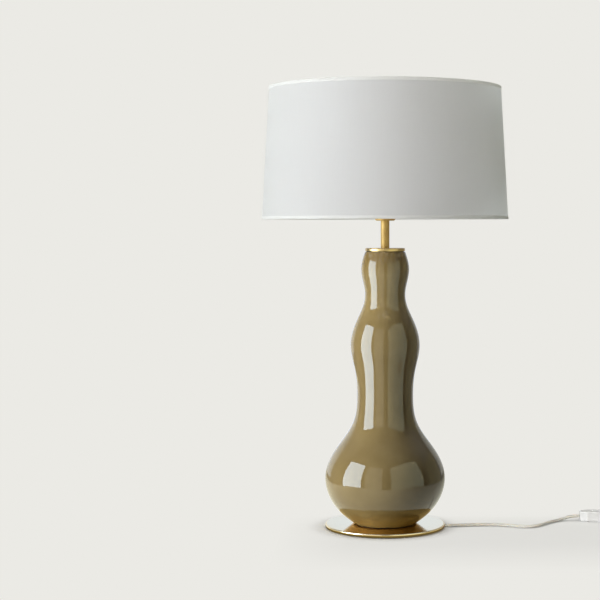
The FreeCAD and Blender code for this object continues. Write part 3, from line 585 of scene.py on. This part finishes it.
def smoothThrough(points, count):
    # Natural cubic spline through the points, with the distance between them as its measure
    marks = [0.0]
    for before, after in zip(points, points[1:]):
        marks.append(marks[-1] + math.dist(before, after))
    last = len(points) - 1
    gaps = [marks[number + 1] - marks[number] for number in range(last)]
    axes = []
    for axis in (0, 1):
        values = [point[axis] for point in points]
        diagonal, right, bend = [1.0], [0.0], [0.0] * (last + 1)
        for number in range(1, last):
            slope = (values[number + 1] - values[number]) / gaps[number]
            slope -= (values[number] - values[number - 1]) / gaps[number - 1]
            pivot = 2 * (gaps[number - 1] + gaps[number]) - gaps[number - 1] * right[-1]
            right.append(gaps[number] / pivot)
            diagonal.append((6 * slope - gaps[number - 1] * (diagonal[-1] if number > 1 else 0.0)) / pivot)
        for number in range(last - 1, 0, -1):
            bend[number] = diagonal[number] - right[number] * bend[number + 1]
        axes.append((values, bend))
    line = []
    for step in range(count + 1):
        mark = marks[-1] * step / count
        piece = max(number for number in range(last) if marks[number] <= mark + body["slack"])
        gap = gaps[piece]
        ahead = (mark - marks[piece]) / gap
        behind = 1 - ahead
        spot = []
        for values, bend in axes:
            curve = (behind ** 3 - behind) * bend[piece] + (ahead ** 3 - ahead) * bend[piece + 1]
            spot.append(behind * values[piece] + ahead * values[piece + 1] + curve * gap * gap / 6)
        line.append(Vector(spot))
    return line


def bodyOutline():
    outer = smoothThrough(body["turns"], body["outerSteps"])
    inner = []
    spacing = body["fineSteps"]
    fine = smoothThrough(body["turns"], body["innerSteps"] * spacing)
    for number in range(spacing // 2, len(fine) - 2, spacing):
        along = (fine[number + 1] - fine[number - 1]).normalized()
        point = fine[number] - Vector((along[1], -along[0])) * body["wall"]
        if body["floor"] + body["cornerRoom"] < point[1] < body["underLip"] - body["cornerRoom"]:
            inner.append(point)
    top, mouth, foot = outer[-1][1], body["mouth"], body["footHole"]
    outline = [tuple(point) for point in outer]
    outline += [(mouth, top, body["mouthRound"]), (mouth, body["underLip"])]
    outline.append((inner[-1][0] - body["cornerStep"], body["underLip"]))
    outline += [tuple(point) for point in reversed(inner)]
    outline.append((inner[0][0] - body["cornerStep"], body["floor"]))
    return outline + [(foot, body["floor"]), (foot, outer[0][1])]


glazedBody = turnedPiece("glazedBody", bodyOutline(), "glaze", body["steps"])
dress(glazedBody, "lamp", "glaze", "body_shell")
print("Body turned:", len(glazedBody.data.polygons), "faces")


# The plate: a turned ring with a soft edge, and the cord's channel and its bush's pocket cut from below


plate = {
    "radius": 0.0969, "bore": 0.0110, "low": 0.0015, "top": 0.0070, "edge": 0.0021, "foot": 0.0003,
    "steps": 256,
    "channel": {"from": 0.0, "to": 0.1, "half": 0.0032, "top": 0.0055},
    "pocket": {"from": 0.08735, "to": 0.09545, "half": 0.00415, "top": 0.00585},
}


def cutAway(piece, room, low):
    # Takes a box out of the piece, from low up to the room's top
    shape = bmesh.new()
    bmesh.ops.create_cube(shape, size=1.0)
    size = Vector((room["to"] - room["from"], 2 * room["half"], room["top"] - low))
    middle = Vector(((room["to"] + room["from"]) / 2, 0, (room["top"] + low) / 2))
    for corner in shape.verts:
        corner.co = Vector(side * length for side, length in zip(corner.co, size)) + middle
    mesh = bpy.data.meshes.new("cutter")
    shape.to_mesh(mesh)
    shape.free()
    cutter = place(bpy.data.objects.new("cutter", mesh))
    cut = piece.modifiers.new("cut", "BOOLEAN")
    cut.operation = "DIFFERENCE"
    cut.solver = "EXACT"
    cut.object = cutter
    scene.view_layers[0].update()
    piece.data = bpy.data.meshes.new_from_object(piece.evaluated_get(bpy.context.evaluated_depsgraph_get()))
    piece.modifiers.remove(cut)
    bpy.data.objects.remove(cutter)


def makePlate():
    outline = [(plate["bore"], plate["low"]), (plate["radius"], plate["low"], plate["foot"]),
               (plate["radius"], plate["top"], plate["edge"]), (plate["bore"], plate["top"])]
    polished = turnedPiece("polishedPlate", outline, "plateBrass", plate["steps"])
    polished.modifiers.clear()
    for room in (plate["channel"], plate["pocket"]):
        cutAway(polished, room, -plate["low"])
    evenShading(polished)
    return dress(polished, "lamp", "brass", "base_plate")


print("Plate:", len(makePlate().data.polygons), "faces")


# Brass over the body: cap, stem and the lampholder's cup


cap = {"low": 0.4476, "high": 0.4530, "radius": 0.0324, "bore": 0.0052, "spigot": 0.0217, "spigotLow": 0.4441,
       "edge": 0.0016, "spigotEdge": 0.0003}
stem = {"low": 0.4530, "high": 0.4975, "radius": 0.0070, "bore": 0.0052, "edge": 0.0002, "steps": 64}
cup = {"low": 0.4975, "foot": 0.0146, "bevel": 0.0016, "cone": 0.0076, "radius": 0.0194, "top": 0.5165,
       "wall": 0.0010, "bore": 0.00505, "floor": 0.0024, "boss": 0.0085, "bossTop": 0.5070,
       "footRound": 0.0006, "bevelRound": 0.001, "shoulderRound": 0.002, "rimRound": 0.0003,
       "insideStep": 0.0005, "steps": 96}


def capOutline():
    return [(cap["bore"], cap["spigotLow"]), (cap["spigot"], cap["spigotLow"], cap["spigotEdge"]),
            (cap["spigot"], cap["low"]), (cap["radius"], cap["low"], cap["edge"]),
            (cap["radius"], cap["high"], cap["edge"]), (cap["bore"], cap["high"])]


def stemOutline():
    return [(stem["bore"], stem["low"]), (stem["radius"], stem["low"], stem["edge"]),
            (stem["radius"], stem["high"], stem["edge"]), (stem["bore"], stem["high"])]


def cupOutline():
    shoulder, inside = cup["low"] + cup["cone"], cup["radius"] - cup["wall"]
    floor = cup["low"] + cup["floor"]
    return [(cup["bore"], cup["low"]), (cup["foot"], cup["low"], cup["footRound"]),
            (cup["foot"] + cup["bevel"], cup["low"] + cup["bevel"], cup["bevelRound"]),
            (cup["radius"], shoulder, cup["shoulderRound"]), (cup["radius"], cup["top"], cup["rimRound"]),
            (inside, cup["top"], cup["rimRound"]), (inside, shoulder + cup["insideStep"]),
            (cup["foot"], floor), (cup["boss"], floor), (cup["boss"], cup["bossTop"]),
            (cup["bore"], cup["bossTop"])]


dress(turnedPiece("brassCap", capOutline(), "brass"), "lamp", "brass", "top_cap")
dress(turnedPiece("brassStem", stemOutline(), "satinBrass", stem["steps"]), "lamp", "brass", "stem_tube")
dress(turnedPiece("holderCup", cupOutline(), "satinBrass", cup["steps"]), "lamp", "brass", "holder_cup")
print("Brass turned")


# The shade: cloth laminated on film, with a tape folded over each edge


shade = {"low": 0.5000, "height": 0.2140, "lowRadius": 0.2000, "topRadius": 0.1885, "cloth": 0.0005,
         "film": 0.0007, "tape": 0.0005, "band": 0.0048, "lip": 0.00495, "turnIn": 0.0042, "fold": 0.0009,
         "thinEdge": 0.0003, "overlap": 0.0008, "steps": 256}


def shadeRadius(height, depth=0.0):
    along = (height - shade["low"]) / shade["height"]
    return shade["lowRadius"] + (shade["topRadius"] - shade["lowRadius"]) * along - depth


def shadeLine(start, end, depth):
    return [(shadeRadius(height, depth), height) for height in (start, end)]


def layOutCloth(mesh):
    # The UV map runs round the drum and up it, in metres
    layer = mesh.uv_layers.new(name="cloth")
    for face in mesh.polygons:
        middle = math.atan2(face.center.y, face.center.x)
        for corner in face.loop_indices:
            point = mesh.vertices[mesh.loops[corner].vertex_index].co
            angle = math.atan2(point.y, point.x)
            if angle - middle > math.pi:
                angle -= 2 * math.pi
            if middle - angle > math.pi:
                angle += 2 * math.pi
            layer.data[corner].uv = (angle * shade["lowRadius"], point.z)


def shadeTape(name, edge, inward, *replaced):
    # One sheet: band outside, lip under the edge, and a narrow turn up inside, behind the hoop
    end, turned = edge + inward * shade["band"], edge + inward * shade["turnIn"]
    inside = shadeRadius(edge, shade["lip"] + shade["tape"])
    outline = [(shadeRadius(end, shade["tape"]), end), (shadeRadius(end), end - inward * shade["thinEdge"]),
               (shadeRadius(edge), edge, shade["fold"]), (inside, edge, shade["fold"]), (inside, turned)]
    tape = turnedPiece(name, outline[::inward], "tape", shade["steps"], closed=False)
    layOutCloth(tape.data)
    return dress(tape, "shade", "shade_cloth", *replaced)


def makeShade():
    covered = shade["band"] - shade["overlap"]
    low, high = shade["low"] + covered, shade["low"] + shade["height"] - covered
    outside, inside = shade["tape"], shade["tape"] + shade["cloth"] + shade["film"]
    cloth = turnedPiece("shadeCloth", shadeLine(low, high, outside), "cloth", shade["steps"], closed=False)
    layOutCloth(cloth.data)
    dress(cloth, "shade", "shade_cloth", "shade_fabric")
    film = turnedPiece("shadeFilm", shadeLine(high, low, inside), "backing", shade["steps"], closed=False)
    layOutCloth(film.data)
    dress(film, "shade", "shade_backing", "shade_liner")
    tapes = [shadeTape("lowerTape", shade["low"], 1, "shade_bottom_trim"),
             shadeTape("upperTape", shade["low"] + shade["height"], -1, "shade_top_trim")]


makeShade()
print("Shade made")


# CAD nodes whose shape is right take their finish here


nodeFinishes = {
    "brass": ["clamp_ring", "grub_screw", "screw_shell", "centre_contact", "holder_terminals", "plug_pins",
              "rocker_contact", "switch_terminals"],
    "steel": ["base_hub", "hub_screws", "lock_nut", "tie_rod", "terminal_screws", "switch_screws",
              "rocker_pin"],
    "nickel": ["bulb_cap", "bulb_tip"],
    "rubber": ["base_pad", "foot_gasket", "neck_gasket", "cord_bush"],
    "wire": ["shade_top_hoop", "shade_frame"],
    "holder": ["holder_sleeve"],
    "porcelain": ["holder_core"],
    "opal": ["bulb_globe"],
    "bulbPlastic": ["bulb_housing"],
    "bulbBlack": ["bulb_insulator"],
    "cordSkin": ["inner_cord"],
    "core": ["core_wires", "switch_wires"],
    "switch": ["switch_base", "switch_cover", "switch_rocker"],
    "plug": ["plug_body"],
}


def dressNodes():
    for finish, names in nodeFinishes.items():
        for name in names:
            mesh = nodes[name].data
            if not mesh.materials:
                mesh.materials.append(finishes[finish])
            for number in range(len(nodes[name].material_slots)):
                nodes[name].material_slots[number].link = "OBJECT"
                nodes[name].material_slots[number].material = finishes[finish]


dressNodes()
print("CAD nodes dressed")


# Stage: pale floor, even backdrop, lights, and the boards that polished surfaces mirror


backdrop = colour(235, 234, 229)
floorLook = {
    "size": 9.0, "table": (-0.47, -0.36, 0.51, 1.5), "cutCorner": (0.12, 0.10),
    # As the camera sees it: the share of real shading, the edges of its patch, and where the lamp stands
    "unshaded": 0.62, "share": 0.16,
    "left": (-0.17, -0.05), "right": (0.80, 0.42), "back": (0.10, 0.0), "front": (-0.32, -0.13),
    "contact": 0.85, "contactReach": 0.06, "contactSamples": 8, "openAbove": (0.45, 0.95),
    # As dull surfaces see it: paler away from the lamp, and to rays that come from close by or from afar
    "bounceNear": 0.06, "bounceFar": 0.9, "bounceFade": (0.30, 0.7),
    "close": (0.02, 0.045), "distant": (0.50, 0.62),
    # As polished surfaces mirror it: brighter on the left, dimmer behind, dark just under the plate
    "mirroredTint": (1.0, 1.0, 0.84, 1), "sunnyFrom": (0.42, -0.30), "sunny": (0.60, 1.42),
    "sunnyBack": (0.10, 0.60), "sunnyBehind": 0.5, "shadowed": (0.022, 0.034), "shadow": 0.16,
}


def floorFinish():
    # Seen directly, the floor has the backdrop's colour and darkens only where the lamp stands and shades it
    look = floorLook
    material = bpy.data.materials.new("paleFloor")
    material.use_nodes = True
    tree = material.node_tree
    tree.nodes.clear()
    rays = tree.nodes.new("ShaderNodeLightPath").outputs
    spot = coordinates(tree)["Object"]
    across = parted(tree, spot)
    soft = look["share"]
    for axis, edge in (("X", "left"), ("X", "right"), ("Y", "back"), ("Y", "front")):
        soft = maths(tree, "MULTIPLY", mapped(tree, across[axis], *look[edge], 0, 1), soft)
    shut = addNode(tree, "ShaderNodeAmbientOcclusion", {"Distance": look["contactReach"]},
                   samples=look["contactSamples"])
    touching = mapped(tree, shut.outputs["AO"], *look["openAbove"], look["contact"], 0)
    lit = addNode(tree, "ShaderNodeBsdfDiffuse", {"Color": tinted(backdrop, 1 / look["unshaded"])})
    plain = addNode(tree, "ShaderNodeEmission", {"Color": backdrop, "Strength": 1.0})
    shaded = maths(tree, "MAXIMUM", soft, touching)
    seen = addNode(tree, "ShaderNodeMixShader", {0: shaded, 1: plain.outputs[0], 2: lit.outputs[0]})
    away = addNode(tree, "ShaderNodeVectorMath", {0: spot}, operation="LENGTH").outputs["Value"]
    length = rays["Ray Length"]
    pale = mapped(tree, away, *look["bounceFade"], look["bounceNear"], look["bounceFar"])
    for reach, start, end in (("close", look["bounceFar"], 0), ("distant", 0, look["bounceFar"])):
        pale = maths(tree, "MAXIMUM", pale, mapped(tree, length, *look[reach], start, end))
    bounced = addNode(tree, "ShaderNodeBsdfDiffuse", {"Color": pale})
    sunny = maths(tree, "MULTIPLY", mapped(tree, across["X"], *look["sunnyFrom"], *look["sunny"]),
                  mapped(tree, length, *look["shadowed"], look["shadow"], 1))
    behind = mapped(tree, across["Y"], *look["sunnyBack"], 1, look["sunnyBehind"])
    sunny = maths(tree, "MULTIPLY", sunny, behind)
    mirrored = addNode(tree, "ShaderNodeEmission", {"Color": look["mirroredTint"], "Strength": sunny})
    others = addNode(tree, "ShaderNodeMixShader", {0: rays["Is Diffuse Ray"], 1: mirrored.outputs[0],
                                                   2: bounced.outputs[0]})
    final = addNode(tree, "ShaderNodeMixShader", {0: rays["Is Camera Ray"], 1: others.outputs[0],
                                                  2: seen.outputs[0]})
    leave = tree.nodes.new("ShaderNodeOutputMaterial")
    tree.links.new(final.outputs[0], leave.inputs["Surface"])
    return material


def flatStage(name, corners, faces, material):
    mesh = bpy.data.meshes.new(name)
    mesh.from_pydata(corners, [], faces)
    mesh.materials.append(material)
    obj = place(bpy.data.objects.new(name, mesh))
    return obj


def makeFloor():
    material = floorFinish()
    half = floorLook["size"] / 2
    left, front, right, back = floorLook["table"]
    across, along = floorLook["cutCorner"]
    inner = [(left + across, front, 0), (right, front, 0), (right, back, 0), (left, back, 0),
             (left, front + along, 0)]
    outer = [(-half, -half, 0), (half, -half, 0), (half, half, 0), (-half, half, 0)]
    flatStage("tableTop", inner, [(0, 1, 2, 3, 4)], material)
    around = flatStage("floorAround", inner + outer, [(5, 6, 1, 0), (6, 7, 2, 1), (7, 8, 3, 2), (8, 5, 4, 3),
                                                      (5, 0, 4)], material)
    around.visible_glossy = False


# Each board's two ends by angle, from the camera's side and positive to the right, and its foot and two tops.
# A fade is a low and a high height, and the strengths there.
panels = {
    "leftWindow": {"from": -86.0, "to": -46.0, "distance": 1.7, "low": -1.3, "high": (1.25, 1.45),
                   "light": (6.7, 7.9, 8.8)},
    "middleScreen": {"from": -38.0, "to": -6.0, "distance": 1.7, "low": -1.3, "high": (1.42, 1.42),
                     "light": (0.9, 0.9, 0.80)},
    "rightScreen": {"from": 11.0, "to": 77.0, "distance": 1.7, "low": -1.3, "high": (1.42, 1.42),
                    "light": (1.05, 1.15, 0.92)},
    "sideScreen": {"from": 92.0, "to": 130.0, "distance": 1.7, "low": -1.3, "high": (0.85, 0.85),
                   "light": (0.32, 0.31, 0.22)},
    "plateScreen": {"from": 171.0, "to": 189.0, "distance": 1.15, "low": 0.0, "high": (0.6, 0.6),
                    "light": (0.84, 1.10, 1.60)},
    "backRight": {"from": 136.0, "to": 180.0, "distance": 1.5, "low": 0.0, "high": (2.4, 2.4),
                  "light": (0.58, 0.59, 0.56)},
    "backLeft": {"from": -180.0, "to": -127.0, "distance": 1.5, "low": 0.0, "high": (2.4, 2.4),
                 "light": (1.0, 1.09, 1.15), "fade": (0.45, 1.0, 1.0, 0.35)},
}


def towards(angle, distance):
    turn = math.radians(angle)
    return Vector((math.sin(turn) * distance, -math.cos(turn) * distance, 0))


def makePanels():
    for name, panel in panels.items():
        start, end = towards(panel["from"], panel["distance"]), towards(panel["to"], panel["distance"])
        low = Vector((0, 0, panel["low"]))
        startTop, endTop = (Vector((0, 0, top)) for top in panel["high"])
        corners = [start + low, end + low, end + endTop, start + startTop]
        material = bpy.data.materials.new(name)
        material.use_nodes = True
        tree = material.node_tree
        tree.nodes.clear()
        height = parted(tree, coordinates(tree)["Object"])["Z"]
        strength = mapped(tree, height, *panel["fade"]) if "fade" in panel else 1.0
        glow = addNode(tree, "ShaderNodeEmission", {"Color": (*panel["light"], 1), "Strength": strength})
        leave = tree.nodes.new("ShaderNodeOutputMaterial")
        tree.links.new(glow.outputs[0], leave.inputs["Surface"])
        board = flatStage(name, [tuple(corner) for corner in corners], [(0, 1, 2, 3)], material)
        board.visible_camera = board.visible_diffuse = board.visible_shadow = False
        board.visible_volume_scatter = False


# Each light stands at an angle, as the boards do, and aims at a height on the axis. One that names pieces
# lights those alone.
brassAndGlaze = ["glazedBody", "polishedPlate", "brassCap", "brassStem", "holderCup"]
cordAndSwitch = ["leadCord", "runCord", "switch_base", "switch_cover", "switch_rocker", "plug_body"]
shadeAndBulb = ["shadeCloth", "lowerTape", "upperTape", "bulb_globe", "bulb_housing"]
lamps = {
    "keyLamp": {"angle": -60.0, "distance": 3.0, "height": 0.50, "aim": 0.4, "size": (1.6, 1.3),
                "power": 94.0, "tint": (0.98, 1.0, 1.03)},
    "rightLamp": {"angle": 44.0, "distance": 3.0, "height": 0.6, "aim": 0.4, "size": (2.0, 1.8),
                  "power": 0.8, "tint": (1.0, 1.0, 0.93)},
    "topLamp": {"angle": 0.0, "distance": 0.0, "height": 2.4, "aim": 0.0, "size": (1.8, 1.8),
                "power": 0.3, "tint": (1.0, 1.0, 1.0)},
    "cordLamp": {"angle": 15.0, "distance": 1.6, "height": 0.4, "aim": 0.0, "size": (1.6, 0.6),
                 "power": 11.5, "tint": (1.0, 0.98, 0.94), "lights": cordAndSwitch},
    "cordTopLamp": {"angle": 90.0, "distance": 0.35, "height": 1.8, "aim": 0.0, "size": (1.0, 1.0),
                    "power": 6.5, "tint": (1.0, 0.99, 0.96), "lights": cordAndSwitch},
    "shadeLamp": {"angle": -14.0, "distance": 3.0, "height": 0.55, "aim": 0.5, "size": (1.0, 0.8),
                  "power": 37.0, "tint": (1.05, 1.0, 1.14), "lights": shadeAndBulb},
    "backLamp": {"angle": 178.0, "distance": 3.0, "height": 1.0, "aim": 0.2, "size": (1.6, 1.0),
                 "power": 45.0, "tint": (1.0, 0.99, 0.96),
                 "lights": brassAndGlaze + cordAndSwitch + ["plug_pins"]},
}


def litBy(holder, pieces):
    chosen = bpy.data.collections.new(holder.name + "Pieces")
    for piece in pieces:
        chosen.objects.link(piece)
    holder.light_linking.receiver_collection = chosen


def makeLamps():
    for name, lamp in lamps.items():
        data = bpy.data.lights.new(name, "AREA")
        data.shape = "RECTANGLE"
        data.size, data.size_y = lamp["size"]
        data.energy = lamp["power"]
        data.color = lamp["tint"]
        holder = place(bpy.data.objects.new(name, data))
        spot = towards(lamp["angle"], lamp["distance"]) + Vector((0, 0, lamp["height"]))
        holder.location = spot
        holder.rotation_euler = (spot - Vector((0, 0, lamp["aim"]))).to_track_quat("Z", "Y").to_euler()
        holder.visible_glossy = False
        if "lights" in lamp:
            litBy(holder, [bpy.data.objects[piece] if piece in bpy.data.objects else nodes[piece]
                           for piece in lamp["lights"]])


# The room round the stage: dim for dull surfaces, brighter overhead for polished ones
room = {"rise": (-0.1, 1.0), "strength": (0.02, 0.08), "tint": (1, 1, 0.98, 1),
        "mirroredRise": (0.35, 0.95), "mirrored": (0.20, 0.75), "mirroredTint": (1, 1, 0.96, 1),
        "mirroredFront": (-0.2, 0.3, 0.4, 1)}


def makeWorld():
    world = bpy.data.worlds.new("studio")
    world.use_nodes = True
    scene.world = world
    tree = world.node_tree
    tree.nodes.clear()
    rays = tree.nodes.new("ShaderNodeLightPath").outputs
    direction = parted(tree, coordinates(tree)["Generated"])
    dome = mapped(tree, direction["Z"], *room["rise"], *room["strength"])
    soft = addNode(tree, "ShaderNodeBackground", {"Color": room["tint"], "Strength": dome})
    overhead = mapped(tree, direction["Z"], *room["mirroredRise"], *room["mirrored"])
    overhead = maths(tree, "MULTIPLY", overhead, mapped(tree, direction["Y"], *room["mirroredFront"]))
    mirrored = addNode(tree, "ShaderNodeBackground", {"Color": room["mirroredTint"], "Strength": overhead})
    seen = addNode(tree, "ShaderNodeBackground", {"Color": backdrop, "Strength": 1.0})
    clear = maths(tree, "MAXIMUM", rays["Is Camera Ray"], rays["Is Transmission Ray"])
    polished = addNode(tree, "ShaderNodeMixShader", {0: rays["Is Glossy Ray"], 1: soft.outputs[0],
                                                     2: mirrored.outputs[0]})
    final = addNode(tree, "ShaderNodeMixShader", {0: clear, 1: polished.outputs[0], 2: seen.outputs[0]})
    leave = tree.nodes.new("ShaderNodeOutputWorld")
    tree.links.new(final.outputs[0], leave.inputs["Surface"])


makeFloor()
makePanels()
makeLamps()
makeWorld()
scene.view_settings.view_transform = "Standard"
print("Stage set")
